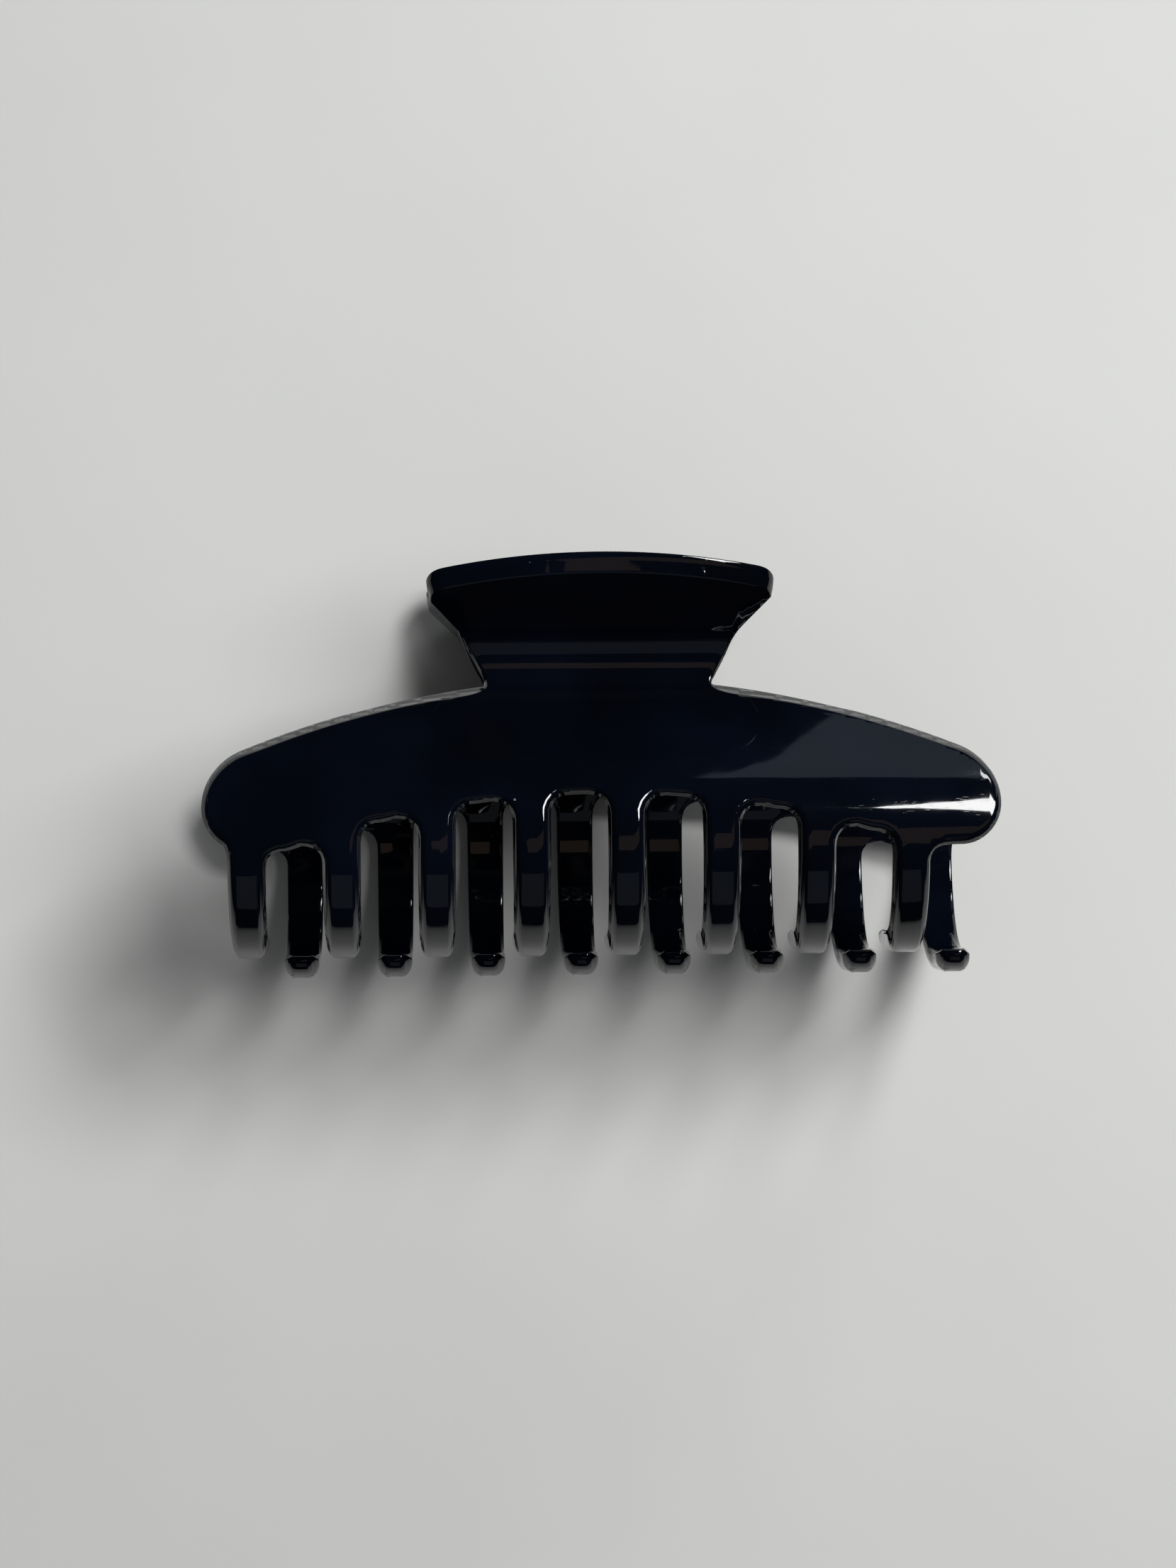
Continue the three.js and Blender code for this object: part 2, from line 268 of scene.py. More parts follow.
def gap_top(x):
    """The height of the curve that the tops of the gaps follow."""
    return GAP_APEX - GAP_RADIUS + math.sqrt(GAP_RADIUS**2 - x**2)


# %% One side of the outline
def flank(edge, tooth_end):
    """From the end of the outer tooth, round the lobe, over the shoulder and up to the tab's tip."""
    top_centre = TOP_APEX - TOP_RADIUS
    lobe_top = CLIP_LENGTH / 2 - LOBE_TOP_RADIUS
    lobe_foot = CLIP_LENGTH / 2 - LOBE_FOOT_RADIUS
    rise = math.sqrt((TOP_RADIUS - LOBE_TOP_RADIUS) ** 2 - lobe_top**2)
    lobe_height = top_centre + rise
    underside = lobe_height - LOBE_FOOT_RADIUS
    points = side_points(edge, tooth_end, tooth_end + TIP_REACH)
    points.append((edge, underside - ROOT_FILLET, TOOTH_EDGE))
    if edge + ROOT_FILLET < lobe_foot:
        bend = (edge + ROOT_FILLET, underside)
        points += curve_points(points[-1], (edge, underside), bend, GAP_EDGE)
        turn = math.radians(90)
    else:
        turn = math.acos((edge + OUTER_FILLET - lobe_foot) / LOBE_FOOT_RADIUS)
        start = lobe_height - LOBE_FOOT_RADIUS * math.sin(turn)
        bend = (edge + OUTER_FILLET, start)
        points += curve_points(points[-1], (edge, (start + underside) / 2), bend, LOBE_EDGE)
    points += arc_points((lobe_foot, lobe_height), LOBE_FOOT_RADIUS, -turn, 0, LOBE_EDGE)
    meet = math.atan2(rise, lobe_top)
    points += arc_points((lobe_top, lobe_height), LOBE_TOP_RADIUS, 0, meet, LOBE_EDGE)
    neck = math.acos((NECK_HALF_WIDTH + NECK_FILLET) / TOP_RADIUS)
    points += arc_points((0, top_centre), TOP_RADIUS, meet, neck, BODY_EDGE)
    neck_height = top_centre + TOP_RADIUS * math.sin(neck)
    way = Vector((TAB_HALF_WIDTH - NECK_HALF_WIDTH, TAB_WIDEST - neck_height)).normalized()
    above = (NECK_HALF_WIDTH + NECK_FILLET * way.x, neck_height + NECK_FILLET * way.y)
    points += curve_points(points[-1], (NECK_HALF_WIDTH, neck_height), above, FLANK_EDGE)
    return points


def tab_tip():
    """The tab's corners and long arc, from right to left, foreshortened by the plate's lean."""
    corner_x = TAB_HALF_WIDTH - TAB_CORNER
    rise = math.sqrt((TAB_TIP_RADIUS - TAB_CORNER) ** 2 - corner_x**2)
    corner_y = rise - TAB_TIP_RADIUS
    meet = math.atan2(rise, corner_x)
    last = math.pi - CORNER_START
    plate = arc_points((corner_x, corner_y), TAB_CORNER, CORNER_START, meet, CORNER_EDGE)
    plate += arc_points((0, -TAB_TIP_RADIUS), TAB_TIP_RADIUS, meet, math.pi - meet, RIM_EDGE)
    plate += arc_points((-corner_x, corner_y), TAB_CORNER, math.pi - meet, last, CORNER_EDGE)
    return [(x, TAB_RISE + along * math.cos(TAB_HEADING), cut) for x, along, cut in plate]


# %% [markdown]
# The row of teeth is shifted along its jaw. The rear jaw is drawn like the front one and then turned
# half a turn about its upright axis, so its shift runs the other way and the rows interleave.


# %% The whole outline
def tooth_middles(row_shift):
    """Where the teeth of a row stand across the clip."""
    return [(i - (TOOTH_COUNT - 1) / 2) * TOOTH_PITCH + row_shift for i in range(TOOTH_COUNT)]


def jaw_outline(tooth_end, row_shift):
    """The inner face's outline, counterclockwise: points of (across, height, edge cut)."""
    row = tooth_middles(row_shift)
    half = TOOTH_WIDTH / 2
    turn_up = tooth_end + TIP_ROUND
    left_side = [(-x, y, cut) for x, y, cut in flank(half - row[0], turn_up)]
    points = left_side[::-1]
    waist = turn_up + TIP_REACH
    sideways, down = math.pi, 1.5 * math.pi
    for i, middle in enumerate(row):
        left, right = middle - half, middle + half
        if i > 0:
            points += side_points(left, waist, turn_up)
        points += arc_points((left + TIP_ROUND, turn_up), TIP_ROUND, sideways, down, TIP_EDGE)
        points += arc_points((right - TIP_ROUND, turn_up), TIP_ROUND, down, math.tau, TIP_EDGE)
        if i < TOOTH_COUNT - 1:
            points += side_points(right, turn_up, waist)[1:]
            next_left = row[i + 1] - half
            a, b = gap_top(right + ROOT_FILLET), gap_top(next_left - ROOT_FILLET)
            points.append((right, a - ROOT_FILLET, TOOTH_EDGE))
            points += curve_points(points[-1], (right, a), (right + ROOT_FILLET, a), GAP_EDGE)
            points.append((next_left - ROOT_FILLET, b, GAP_EDGE))
            points += curve_points(points[-1], (next_left, b), (next_left, b - ROOT_FILLET), GAP_EDGE)
    points += flank(row[-1] + half, turn_up)[1:]
    points += tab_tip()
    return points


def blended_cuts(points, passes=8):
    """The edge cuts, averaged with their neighbours so that one kind runs smoothly into the next."""
    cuts = [point[2] for point in points]
    for _ in range(passes):
        around = list(zip(cuts[-1:] + cuts[:-1], cuts, cuts[1:] + cuts[:1]))
        cuts = [tuple((a + 2 * b + c) / 4 for a, b, c in zip(*trio)) for trio in around]
    return cuts


# %% [markdown]
# ## From flat sheet to bent wall
# The jaw is made flat first, like a cookie. The inner face is filled, then extruded in thin steps, and
# each new ring of vertices is placed to follow the edge's slant and round. Flat, every edge is easy to
# get right. Then parallel cuts lay a fine grid over it, and each vertex is moved onto the bent path.
# Bending comes last because a cut through a bent wall would no longer be straight.


# %% The flat slab
INNER_ROUND = 0.3
ROUND_STEPS = 6
EDGE_SWELL = 0.3
GRID = 1.0
SNAP = 0.02
ROW_END = -24.0
TIP_DOME = 1.12
TOOTH_LINES = (-0.4, -0.3, 0.3, 0.4)


def edge_rings(cut):
    """How far in and how deep each ring lies, from the inner face to the outer one.

    The slant stands out a little in its middle, so that its glint is a band and not a flash.
    """
    slant, width, depth = cut
    half_way = math.radians(45)
    rings = [
        (INNER_ROUND, WALL),
        (INNER_ROUND * (1 - math.sin(half_way)), WALL - INNER_ROUND * (1 - math.cos(half_way))),
        (0.0, WALL - INNER_ROUND),
        (slant * EDGE_SWELL, (WALL - INNER_ROUND + depth) / 2),
    ]
    for i in range(ROUND_STEPS + 1):
        angle = math.radians(90 * i / ROUND_STEPS)
        rings.append((slant + width * (1 - math.cos(angle)), depth * (1 - math.sin(angle))))
    return rings


def flat_slab(strokes, row_shift):
    """The jaw laid flat: X across, Y against the path, Z from -WALL (inner) to 0 (outer)."""
    bottom = strokes[-1][0]
    path_end = strokes[-1][0] + strokes[-1][5]
    height_at = lambda along: walk(strokes, along)[1]
    row_end_along = bisect(ROW_END, height_at, 0, bottom)

    def along_of(height):
        """Above ROW_END a height is a real height. Below it, it runs on along the tooth."""
        if height < ROW_END:
            return row_end_along + ROW_END - height
        return bisect(height, height_at, -5, bottom)

    tooth_end = ROW_END - (path_end - TIP_DOME - row_end_along)
    outline = jaw_outline(tooth_end, row_shift)
    flat = [Vector((x, -along_of(height))) for x, height, _ in outline]
    rings = [edge_rings(cut) for cut in blended_cuts(outline)]
    inward = []
    for i in range(len(flat)):
        way = (flat[(i + 1) % len(flat)] - flat[i - 1]).normalized()
        inward.append(Vector((-way.y, way.x)))

    def place(i, ring):
        into, depth = rings[i][ring]
        spot = flat[i] + inward[i] * into
        return (spot.x, spot.y, -depth)

    bm = bmesh.new()
    loop = [bm.verts.new(place(i, 0)) for i in range(len(flat))]
    face = bm.faces.new(loop)
    for ring in range(1, len(rings[0])):
        grown = bmesh.ops.extrude_face_region(bm, geom=[face])["geom"]
        new_verts = {v for v in grown if isinstance(v, bmesh.types.BMVert)}
        face = next(f for f in grown if isinstance(f, bmesh.types.BMFace))
        loop = [
            next(e.other_vert(v) for e in v.link_edges if e.other_vert(v) in new_verts)
            for v in loop
        ]
        for i, vert in enumerate(loop):
            vert.co = place(i, ring)
    bmesh.ops.recalc_face_normals(bm, faces=bm.faces)
    print("flat slab:", len(bm.verts), "vertices,", len(bm.faces), "faces")
    return bm, path_end


def cut_grid(bm, path_end, row_shift, flat_end):
    """Parallel cuts along and across, with four more along each tooth.

    The plate above flat_end isn't bent, so it needs no cuts across.
    """

    def cut(point, normal):
        geom = bm.verts[:] + bm.edges[:] + bm.faces[:]
        bmesh.ops.bisect_plane(bm, geom=geom, dist=SNAP, plane_co=point, plane_no=normal)

    count = int(CLIP_LENGTH / GRID)
    places = [CLIP_LENGTH * (i / count - 0.5) for i in range(1, count)]
    middles = tooth_middles(row_shift)
    lines = [middle + side * TOOTH_WIDTH for middle in middles for side in TOOTH_LINES]
    places = [x for x in places if min(abs(x - line) for line in lines) > 0.3 * GRID] + lines
    for x in places:
        cut((x, 0, 0), (1, 0, 0))
    count = int(path_end / GRID)
    for i in range(1, count + 1):
        if path_end * i / count > flat_end:
            cut((0, -path_end * i / count, 0), (0, 1, 0))
    print("cut into", len(bm.faces), "faces")


# %% [markdown]
# The teeth need more than a bend. They taper towards the tip, their inner face grows a chamfer on both
# sides there, and the tip itself is a low dome. These shapes are added to the flat slab's coordinates
# just before the bend, each as a small smooth move that fades in along the tooth.


# %% Tooth shaping and the bend
TIP_CHAMFER = 0.85
TIP_CHAMFER_LENGTH = 9.0
TIP_CHAMFER_START = 0.6
TIP_TAPER = 0.09
DOME_LENGTH = 2.0
DOME_MIDDLE = 0.45
ROOT_MARGIN = 1.0


def shape_tooth(x, along, depth, path_end, root_along, middles):
    """The slab's point after the tooth's own shaping."""
    middle = min(middles, key=lambda m: abs(m - x))
    aside = x - middle
    share = min(1.0, abs(aside) / (TOOTH_WIDTH / 2))
    inner = depth / WALL
    tip = smoothstep(along, path_end - TIP_CHAMFER_LENGTH, path_end)
    beside = max(0.0, (share - TIP_CHAMFER_START) / (1 - TIP_CHAMFER_START))
    depth -= TIP_CHAMFER * tip * beside * inner**2
    x = middle + aside * (1 - TIP_TAPER * smoothstep(along, root_along, path_end))
    near_end = smoothstep(along, path_end - TIP_DOME - DOME_LENGTH, path_end - TIP_DOME)
    off_middle = (inner - DOME_MIDDLE) / (1 - DOME_MIDDLE)
    along += TIP_DOME * near_end * (1 - share**2) * (1 - off_middle**2)
    return x, along, depth


def bend(bm, strokes, path_end, row_shift):
    """Moves each vertex of the slab onto the jaw's path, and crowns the belly."""
    height_at = lambda along: walk(strokes, along)[1]
    pull_start = strokes[1][0]
    neck_bottom = pull_start - NECK_RADIUS * TAB_HEADING
    belly_along = strokes[4][0]
    middles = tooth_middles(row_shift)
    shear_at = {}

    def inset_height(along):
        _, height, heading = walk(strokes, along)
        return height - WALL * math.sin(heading)

    def shear(along):
        """How much further along the inner face lies, where the edge is cut the way the mould opens."""
        key = round(along, 3)
        if key not in shear_at:
            if along <= pull_start or along >= belly_along:
                shear_at[key] = 0.0
            else:
                height = walk(strokes, along)[1]
                level = bisect(height, inset_height, 0, belly_along + 0.01)
                shear_at[key] = (level - along) * smoothstep(along, pull_start, neck_bottom)
        return shear_at[key]

    for vert in bm.verts:
        x, along, depth = vert.co.x, -vert.co.y, -vert.co.z
        root_height = gap_top(x) + ROOT_MARGIN
        root_along = bisect(root_height, height_at, belly_along - 25, path_end - 15)
        if along > root_along:
            x, along, depth = shape_tooth(x, along, depth, path_end, root_along, middles)
        out, height, heading = walk(strokes, along + shear(along) * depth / WALL)
        out -= depth * math.cos(heading)
        height -= depth * math.sin(heading)
        below = smoothstep(-height, 0, CROWN_FADE)
        out -= CROWN * (2 * x / CLIP_LENGTH) ** 2 * below
        vert.co = (x, height, out)


# %% [markdown]
# ## The hinge lugs
# Two plates stand on the inside of each jaw and reach to the pin. A plate is drawn as a disc around the
# pin, and the half that faces the jaw is stretched into the wall. The pin's hole is cut by keeping the
# disc as a ring: an inner circle and an outer one, joined by bridging.


# %% Lugs
LUG_WIDTH = 3.4
LUG_GAP = 0.6
LUG_RADIUS = 3.4
SPRING_BAY = 14.6
BORE_RADIUS = 1.5
LUG_SIDES = 48
LUG_BEVEL = 0.3
FOOT_MIDDLE = math.radians(-2.5)
FOOT_SPREAD = math.radians(-32.5)
INNER_LUG = (SPRING_BAY + LUG_WIDTH) / 2
OUTER_LUG = INNER_LUG + LUG_WIDTH + LUG_GAP


def ring_edges(bm, ring):
    """The edges that join the vertices of a ring."""
    return [e for e in bm.edges if all(v in ring for v in e.verts)]


def add_lug(bm, middle, strokes):
    """A bored plate from the pin into the neck's wall."""
    turn = Matrix.Rotation(math.radians(90), 4, "Y")
    place = Matrix.Translation((middle - LUG_WIDTH / 2, 0, 0)) @ turn
    rings = []
    for radius in (BORE_RADIUS, LUG_RADIUS):
        made = bmesh.ops.create_circle(bm, segments=LUG_SIDES, radius=radius, matrix=place)
        rings.append(made["verts"])
    neck_start = walk(strokes, strokes[1][0])
    centre_out = neck_start[0] + NECK_RADIUS * math.cos(neck_start[2])
    centre_height = neck_start[1] + NECK_RADIUS * math.sin(neck_start[2])
    reach = NECK_RADIUS + WALL / 2
    for vert in rings[1]:
        if vert.co.z > 0.05 * LUG_RADIUS:
            heading = FOOT_MIDDLE + FOOT_SPREAD * vert.co.y / LUG_RADIUS
            vert.co.z = centre_out - reach * math.cos(heading)
            vert.co.y = centre_height - reach * math.sin(heading)
    edges = ring_edges(bm, rings[0]) + ring_edges(bm, rings[1])
    faces = bmesh.ops.bridge_loops(bm, edges=edges)["faces"]
    grown = bmesh.ops.extrude_face_region(bm, geom=faces)
    verts = [v for v in grown["geom"] if isinstance(v, bmesh.types.BMVert)]
    bmesh.ops.translate(bm, vec=(LUG_WIDTH, 0, 0), verts=verts)
    every = list({v for f in faces for v in f.verts}) + verts
    sides = {f for v in every for f in v.link_faces}
    bmesh.ops.recalc_face_normals(bm, faces=list(sides))
    corners = {e for f in sides for e in f.edges if len(e.link_faces) == 2}
    sharp = [e for e in corners if e.calc_face_angle(0) > math.radians(60)]
    bmesh.ops.bevel(
        bm,
        geom=sharp,
        offset=LUG_BEVEL,
        affect="EDGES",
        segments=3,
        profile=0.5,
        material=-1,
        clamp_overlap=False,
    )


# %% [markdown]
# ## Making the two jaws
# Both jaws come from the same functions. The rear jaw's teeth are a little longer, and its finished
# mesh is turned half a turn about the upright axis. Mesh data is moved rather than the object, so the
# object stays at the origin, where the frame expects it.


# %% A finishing function for every piece
def finish_piece(bm, name, material):
    """Turns a bmesh in metres into a smooth-shaded object at the origin."""
    mesh = bpy.data.meshes.new(name)
    bm.to_mesh(mesh)
    bm.free()
    mesh.shade_smooth()
    mesh.materials.append(material)
    piece = bpy.data.objects.new(name, mesh)
    bpy.context.scene.collection.objects.link(piece)
    print(name, "has", len(mesh.polygons), "faces")
    return piece


def to_frame(bm):
    """From millimetres around the pin to metres in the frame."""
    bmesh.ops.scale(bm, vec=(MM, MM, MM), verts=bm.verts)
    bmesh.ops.translate(bm, vec=PIVOT, verts=bm.verts)


def make_jaw(name, strokes, row_shift, half_turn, material):
    """One whole moulding, with its two lugs."""
    bm, path_end = flat_slab(strokes, row_shift)
    cut_grid(bm, path_end, row_shift, strokes[1][0])
    bend(bm, strokes, path_end, row_shift)
    bmesh.ops.remove_doubles(bm, verts=bm.verts, dist=1e-4)
    bmesh.ops.recalc_face_normals(bm, faces=bm.faces)
    for middle in (-OUTER_LUG, INNER_LUG):
        add_lug(bm, middle, strokes)
    if half_turn:
        turn = Matrix.Rotation(math.pi, 3, "Y")
        bmesh.ops.rotate(bm, verts=bm.verts, cent=(0, 0, 0), matrix=turn)
    to_frame(bm)
    return finish_piece(bm, name, material)


# %% [markdown]
# ## Materials: a colour and a node helper
# Colours are written as hex values, as on a paint card, and turned to linear light by one function.
# One small function adds a node with its settings and links, so each material reads from top to
# bottom as a list of what its surface has.


# %% Colour and node helpers
def hex_colour(text):
    """An sRGB hex colour as linear RGBA."""
    channels = [int(text[i : i + 2], 16) / 255 for i in (1, 3, 5)]
    linear = [c / 12.92 if c <= 0.04045 else ((c + 0.055) / 1.055) ** 2.4 for c in channels]
    return (*linear, 1.0)


def add_node(tree, kind, settings=None, **sockets):
    """Adds a node, with its properties, and a value or an output socket for each of its inputs."""
    node = tree.nodes.new(kind)
    for key, value in (settings or {}).items():
        setattr(node, key, value)
    for key, value in sockets.items():
        label = key.replace("_", " ")
        socket = node.inputs[label] if label in node.inputs else node.inputs[int(key[1:])]
        if isinstance(value, bpy.types.NodeSocket):
            tree.links.new(value, socket)
        else:
            socket.default_value = value
    return node


def colour_ramp(tree, factor, first, last, spots=(0.0, 1.0)):
    """A ramp between two hex colours, as an output socket."""
    ramp = add_node(tree, "ShaderNodeValToRGB", Fac=factor)
    for element, text, spot in zip(ramp.color_ramp.elements, (first, last), spots):
        element.color = hex_colour(text)
        element.position = spot
    return ramp.outputs["Color"]


def map_range(tree, value, first, last, low, high):
    """The stretch from first to last mapped to the one from low to high, as an output socket."""
    spans = {"From_Min": first, "From_Max": last, "To_Min": low, "To_Max": high}
    return add_node(tree, "ShaderNodeMapRange", Value=value, **spans).outputs[0]


def maths(tree, operation, a, b):
    """One sum of two inputs, as an output socket."""
    return add_node(tree, "ShaderNodeMath", {"operation": operation}, _0=a, _1=b).outputs[0]


def new_material(name):
    """An empty material, its node tree and its shader."""
    material = bpy.data.materials.new(name)
    material.use_nodes = True
    tree = material.node_tree
    shader = tree.nodes["Principled BSDF"]
    return material, tree, shader


# %% [markdown]
# ### Polished black plastic
# The jaws are injection-moulded from a clear-grade styrene plastic coloured through with black. The
# polished mould gives a mirror-like skin with an IOR near 1.55. What shows that it is moulded and has
# been handled: the skin sinks and swells very slightly over several millimetres, hairline scratches
# run mostly along the clip, finger smudges dull the gloss in patches, and a few dust specks sit on it.


# %% Polished black plastic
def polished_black_plastic():
    material, tree, shader = new_material("polished_black_styrene")
    place = add_node(tree, "ShaderNodeTexCoord").outputs["Object"]
    link = tree.links.new

    tint = add_node(tree, "ShaderNodeTexNoise", Vector=place, Scale=60.0, Detail=2.0)
    black = colour_ramp(tree, tint.outputs["Fac"], "#03050a", "#060a14", (0.35, 0.7))

    # Dust: in cells of about 2 mm, one in twenty has a speck of 0.3 mm in its middle.
    specks = add_node(tree, "ShaderNodeTexVoronoi", {"feature": "F1"}, Vector=place, Scale=420.0)
    near = maths(tree, "LESS_THAN", specks.outputs["Distance"], 0.07)
    lottery = add_node(tree, "ShaderNodeSeparateColor", Color=specks.outputs["Color"])
    few = maths(tree, "GREATER_THAN", lottery.outputs["Red"], 0.955)
    dust = maths(tree, "MULTIPLY", near, few)
    colour = add_node(tree, "ShaderNodeMix", {"data_type": "RGBA"}, Factor=dust)
    link(black, colour.inputs["A"])
    colour.inputs["B"].default_value = hex_colour("#5b6068")
    link(colour.outputs["Result"], shader.inputs["Base Color"])

    # Smudges: patches of about a centimetre, a little duller than the polish around them.
    smudge = add_node(
        tree, "ShaderNodeTexNoise", Vector=place, Scale=85.0, Detail=5.0, Roughness=0.6
    )
    gloss = map_range(tree, smudge.outputs["Fac"], 0.45, 0.75, 0.03, 0.09)
    dusty = maths(tree, "MULTIPLY", dust, 0.6)
    link(maths(tree, "MAXIMUM", gloss, dusty), shader.inputs["Roughness"])

    # Sink and swell: one wave in about 9 mm, a few hundredths of a millimetre deep.
    swell = add_node(tree, "ShaderNodeTexNoise", Vector=place, Scale=110.0, Detail=1.0)
    waves = swell.outputs["Fac"]
    sink = add_node(tree, "ShaderNodeBump", Strength=0.35, Distance=0.00012, Height=waves)
    # Hairlines: a noise stretched forty times along the clip, 0.15 mm apart so that they can show.
    along = add_node(tree, "ShaderNodeMapping", Vector=place, Scale=(160.0, 6500.0, 6500.0))
    hairs = add_node(tree, "ShaderNodeTexNoise", Vector=along.outputs[0], Scale=1.0, Detail=2.0)
    thin = map_range(tree, hairs.outputs["Fac"], 0.66, 0.74, 0.0, 1.0)
    scratch = add_node(
        tree,
        "ShaderNodeBump",
        Strength=0.12,
        Distance=0.00001,
        Height=thin,
        Normal=sink.outputs[0],
    )
    link(scratch.outputs[0], shader.inputs["Normal"])
    shader.inputs["IOR"].default_value = 1.55
    return material


# %% [markdown]
# ### Spring wire and pin
# Music wire is drawn through a die, which leaves fine lines along it and a grey, half-bright skin. The
# pin is turned and nickel plated, so it is brighter, with faint rings on its heads. Both are metals:
# their colour is the colour of their reflection, and the IOR keeps its default.


# %% Steel finishes
def drawn_spring_steel():
    material, tree, shader = new_material("drawn_spring_steel")
    place = add_node(tree, "ShaderNodeTexCoord").outputs["Object"]
    patches = add_node(tree, "ShaderNodeTexNoise", Vector=place, Scale=900.0, Detail=3.0)
    grey = colour_ramp(tree, patches.outputs["Fac"], "#8b8f94", "#c2c5c9")
    tree.links.new(grey, shader.inputs["Base Color"])
    rough = map_range(tree, patches.outputs["Fac"], 0.3, 0.7, 0.24, 0.4)
    tree.links.new(rough, shader.inputs["Roughness"])
    lines = add_node(tree, "ShaderNodeTexNoise", Vector=place, Scale=4000.0, Detail=1.0)
    height = lines.outputs["Fac"]
    bump = add_node(tree, "ShaderNodeBump", Strength=0.15, Distance=0.00001, Height=height)
    tree.links.new(bump.outputs[0], shader.inputs["Normal"])
    shader.inputs["Metallic"].default_value = 1.0
    return material


def nickel_plated_steel():
    material, tree, shader = new_material("nickel_plated_steel")
    place = add_node(tree, "ShaderNodeTexCoord").outputs["Object"]
    to_axis = (0.0, -PIVOT.y, -PIVOT.z)
    centred = add_node(tree, "ShaderNodeMapping", Vector=place, Location=to_axis)
    rings = add_node(
        tree,
        "ShaderNodeTexWave",
        {"wave_type": "RINGS", "rings_direction": "X"},
        Vector=centred.outputs[0],
        Scale=1600.0,
        Distortion=0.4,
    )
    height = rings.outputs["Fac"]
    bump = add_node(tree, "ShaderNodeBump", Strength=0.08, Distance=0.00001, Height=height)
    tree.links.new(bump.outputs[0], shader.inputs["Normal"])
    haze = add_node(tree, "ShaderNodeTexNoise", Vector=place, Scale=700.0, Detail=3.0)
    rough = map_range(tree, haze.outputs["Fac"], 0.3, 0.7, 0.14, 0.26)
    tree.links.new(rough, shader.inputs["Roughness"])
    plating = colour_ramp(tree, haze.outputs["Fac"], "#b9b6ae", "#d6d4ce")
    tree.links.new(plating, shader.inputs["Base Color"])
    shader.inputs["Metallic"].default_value = 1.0
    return material


# %% Make the jaws
plastic = polished_black_plastic()
front_shell = make_jaw("front_jaw_moulding", front_path, FRONT_ROW_SHIFT, False, plastic)
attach(front_shell, "front_half")
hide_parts("front_jaw")
rear_shell = make_jaw("rear_jaw_moulding", rear_path, REAR_ROW_SHIFT, True, plastic)
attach(rear_shell, "rear_half")
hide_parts("rear_jaw")

# %% [markdown]
# ## The hinge pin
# A short steel pin runs through all four lugs. One head is formed before it goes in, and the other is
# pressed over afterwards, so both are low domes. The profile is a row of points from the axis outwards
# and back, and spinning it a full turn closes the solid.


# %% Pin
PIN_RADIUS = 1.2
PIN_HEAD_RADIUS = 2.1
PIN_HEAD_WIDTH = 0.8
PIN_RIM = 0.15
PIN_GAP = 0.3
DOME_STEPS = 7


def make_pin(material):
    """The pin with its two domed heads."""
    shoulder = OUTER_LUG + LUG_WIDTH / 2 + PIN_GAP
    rim = shoulder + PIN_RIM
    end = shoulder + PIN_HEAD_WIDTH
    half = [(end, 0.0)]
    for i in range(1, DOME_STEPS + 1):
        angle = math.radians(90 * i / DOME_STEPS)
        across = rim + (end - rim) * math.cos(angle)
        half.append((across, PIN_HEAD_RADIUS * math.sin(angle)))
    half += [(shoulder, PIN_HEAD_RADIUS - 0.1), (shoulder, PIN_RADIUS)]
    profile = half + [(-x, radius) for x, radius in reversed(half)]
    bm = bmesh.new()
    verts = [bm.verts.new((x, radius, 0)) for x, radius in profile]
    edges = [bm.edges.new(pair) for pair in zip(verts, verts[1:])]
    bmesh.ops.spin(
        bm,
        geom=verts + edges,
        cent=(0, 0, 0),
        axis=(1, 0, 0),
        angle=math.tau,
        steps=48,
        use_merge=True,
    )
    bmesh.ops.remove_doubles(bm, verts=bm.verts, dist=1e-4)
    bmesh.ops.recalc_face_normals(bm, faces=bm.faces)
    to_frame(bm)
    piece = finish_piece(bm, "riveted_hinge_pin", material)
    piece.data.set_sharp_from_angle(angle=math.radians(40))
    return piece


pin = make_pin(nickel_plated_steel())
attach(pin, "rear_half")
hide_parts("hinge_pin")

# %% [markdown]
# ## The torsion spring
# The spring is a coil around the pin with one leg against each tab. Spinning a small circle while it
# slides along the axis sweeps a true helix, which is how a coiling machine makes it. The legs are
# extrusions of the coil's two ends.


# %% Spring
WIRE_RADIUS = 0.6
COIL_RADIUS = 3.1
COIL_TURNS = 7
LEG_LENGTH = 16.0
LEG_STEPS = 12
# The rounded end, ring by ring: its share of the wire's radius, and how far on it lies.
LEG_END = ((0.8, 0.12), (0.4, 0.06))
WIRE_SIDES = 16
STEPS_PER_TURN = 40


def leg_lean():
    """How far a leg leans out from straight up, so that its end lies against its tab's inner face."""
    out = HALF_DEPTH - WALL * math.cos(TAB_HEADING)
    height = TAB_RISE - WALL * math.sin(TAB_HEADING)
    reach = out * math.cos(TAB_HEADING) + height * math.sin(TAB_HEADING) - PIN_GAP - WIRE_RADIUS
    from_pin = math.hypot(LEG_LENGTH, COIL_RADIUS)
    return math.asin(reach / from_pin) + math.atan(COIL_RADIUS / LEG_LENGTH) - TAB_HEADING


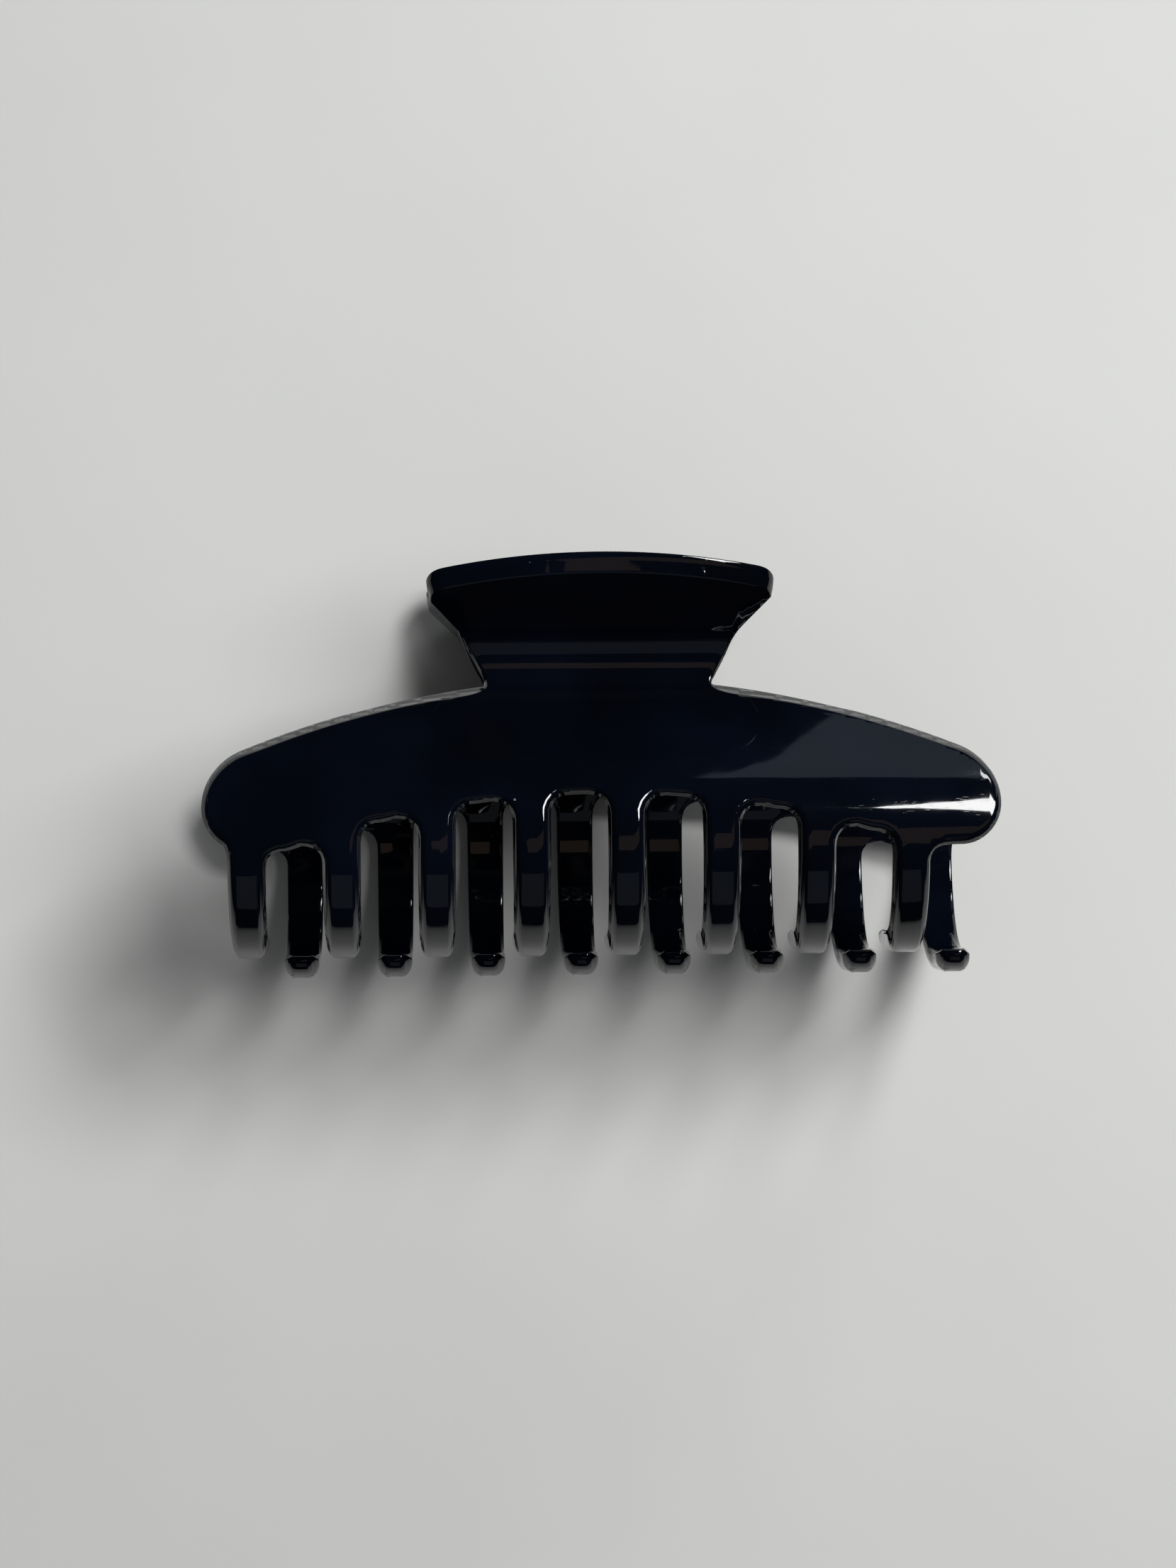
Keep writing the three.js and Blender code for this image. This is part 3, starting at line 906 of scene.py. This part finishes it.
def grow_leg(bm, ring, way):
    """Extrudes the wire's open end along a straight leg, then rounds the end off and closes it."""
    for _ in range(LEG_STEPS):
        made = bmesh.ops.extrude_edge_only(bm, edges=ring_edges(bm, ring))["geom"]
        ring = [v for v in made if isinstance(v, bmesh.types.BMVert)]
        bmesh.ops.translate(bm, vec=way * LEG_LENGTH / LEG_STEPS, verts=ring)
    middle = sum((v.co for v in ring), Vector()) / len(ring)
    for shrink, push in LEG_END:
        made = bmesh.ops.extrude_edge_only(bm, edges=ring_edges(bm, ring))["geom"]
        ring = [v for v in made if isinstance(v, bmesh.types.BMVert)]
        middle = middle + way * push
        for vert in ring:
            radial = vert.co - middle
            radial -= way * radial.dot(way)
            vert.co = middle + radial.normalized() * WIRE_RADIUS * shrink
    bmesh.ops.contextual_create(bm, geom=ring + ring_edges(bm, ring))


def make_spring(material):
    """The coil and its two legs, and how far the coil reaches to each side."""
    lean = leg_lean()
    half_width = SPRING_BAY / 2 - PIN_GAP - WIRE_RADIUS
    sweep = math.tau * COIL_TURNS - math.pi + 2 * lean
    steps = round(sweep / math.tau * STEPS_PER_TURN)
    sine, cosine = COIL_RADIUS * math.sin(lean), COIL_RADIUS * math.cos(lean)
    start = Vector((-half_width, sine, cosine))
    way = Vector((2 * half_width / sweep, -cosine, sine)).normalized()
    bm = bmesh.new()
    place = Matrix.Translation(start) @ way.to_track_quat("Z", "X").to_matrix().to_4x4()
    circle = bmesh.ops.create_circle(bm, segments=WIRE_SIDES, radius=WIRE_RADIUS, matrix=place)
    first = circle["verts"]
    made = bmesh.ops.spin(
        bm,
        geom=first + ring_edges(bm, first),
        cent=(0, 0, 0),
        axis=(1, 0, 0),
        dvec=(2 * half_width / steps, 0, 0),
        angle=sweep,
        steps=steps,
        use_merge=False,
    )
    last = [v for v in made["geom_last"] if isinstance(v, bmesh.types.BMVert)]
    grow_leg(bm, first, Vector((0, math.cos(lean), -math.sin(lean))))
    grow_leg(bm, last, Vector((0, math.cos(lean), math.sin(lean))))
    bmesh.ops.remove_doubles(bm, verts=bm.verts, dist=1e-4)
    bmesh.ops.recalc_face_normals(bm, faces=bm.faces)
    to_frame(bm)
    print("wire length:", round(sweep * COIL_RADIUS + 2 * LEG_LENGTH, 1), "mm")
    return finish_piece(bm, "coiled_torsion_spring", material), half_width


spring, coil_half_width = make_spring(drawn_spring_steel())
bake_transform(spring)
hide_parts("torsion_spring")

# %% [markdown]
# ## Floor
# The clip lies on a pale, smooth surface. It is one large plane with a very faint mottle.


# %% Pale floor
def pale_floor():
    """A plane six metres wide, at the height that the clip rests on."""
    material, tree, shader = new_material("pale_matt_floor")
    place = add_node(tree, "ShaderNodeTexCoord").outputs["Object"]
    mottle = add_node(tree, "ShaderNodeTexNoise", Vector=place, Scale=14.0, Detail=4.0)
    pale = colour_ramp(tree, mottle.outputs["Fac"], "#cfd0cd", "#d9dad8")
    tree.links.new(pale, shader.inputs["Base Color"])
    shader.inputs["Roughness"].default_value = 0.6
    bm = bmesh.new()
    bmesh.ops.create_grid(bm, x_segments=2, y_segments=2, size=3.0)
    mesh = bpy.data.meshes.new("floor")
    bm.to_mesh(mesh)
    bm.free()
    mesh.materials.append(material)
    floor = bpy.data.objects.new("floor", mesh)
    bpy.context.scene.collection.objects.link(floor)
    return floor


pale_floor()

# %% [markdown]
# ## Light
# A broad soft light overhead and to the right makes the soft shadow to the left and below. A polished
# black object shows little of its own colour, so its shape is read from what it mirrors. A bright
# window on the right gives the white glints, and a smaller one beyond it edges the lobe. Three dim
# panels stand for the room: a lit wall beyond the tabs draws the grey wedge on the shoulder, a warm
# patch of ceiling the brown tones below it, and a wall on the near side the grey band in the neck.
# The broad lights are kept out of the mirror image, as a ceiling light behind the viewer would be.


# %% Lamps
CENTRE = Vector((0, 0, HALF_DEPTH * MM))


def soft_panel(name, place, size, power, colour="#ffffff", mirrored=True):
    """An area light at `place`, in metres, that faces the clip; its power is in watts."""
    lamp = bpy.data.lights.new(name, "AREA")
    lamp.shape = "RECTANGLE"
    lamp.size, lamp.size_y = size
    lamp.energy = power
    lamp.color = hex_colour(colour)[:3]
    panel = bpy.data.objects.new(name, lamp)
    panel.location = place
    panel.rotation_euler = (CENTRE - Vector(place)).to_track_quat("-Z", "Y").to_euler()
    panel.visible_glossy = mirrored
    bpy.context.scene.collection.objects.link(panel)


soft_panel("daylight", (0.42, 0.22, 1.00), (0.50, 0.50), 6.0, mirrored=False)
soft_panel("window", (0.54, 0.64, 1.00), (0.42, 0.34), 9.0)
soft_panel("far_window", (0.42, 0.88, 0.40), (0.24, 0.12), 1.2)
soft_panel("ceiling_fill", (-0.2, -0.1, 1.6), (2.4, 2.4), 3.6, mirrored=False)
soft_panel("lit_wall", (0.68, 2.00, 0.66), (0.9, 0.8), 1.2, colour="#c0d0e4")
soft_panel("warm_ceiling", (0.28, 0.10, 1.30), (0.3, 0.9), 0.2, colour="#e0c0a8")
soft_panel("near_wall", (0.0, -1.00, 0.95), (1.2, 0.9), 0.45, colour="#d4dce8")

world = bpy.data.worlds.new("dim_room")
world.use_nodes = True
background = world.node_tree.nodes["Background"]
background.inputs["Color"].default_value = hex_colour("#20242a")
background.inputs["Strength"].default_value = 0.35
bpy.context.scene.world = world
bpy.context.scene.view_settings.view_transform = "Standard"

# %% [markdown]
# ## Camera
# The viewer looks almost straight down from about 0.7 m, standing a little to the left of the clip, so
# the far teeth appear shifted to the right of the near ones.

# %% Camera
EYE = CENTRE + Vector((-0.0236, -0.0094, 0.6686))
LOOK = Vector((0.0333, 0.0105, -1.0)).normalized()
ROLL = math.radians(-0.55)
LENS = 109.9

camera_data = bpy.data.cameras.new("camera")
camera_data.lens = LENS
camera = bpy.data.objects.new("camera", camera_data)
back = -LOOK
right = Vector((0, 1, 0)).cross(back).normalized()
upright = back.cross(right)
pose = Matrix((right, upright, back)).transposed().to_4x4()
camera.matrix_world = Matrix.Translation(EYE) @ pose @ Matrix.Rotation(ROLL, 4, "Z")
bpy.context.scene.collection.objects.link(camera)
bpy.context.scene.camera = camera
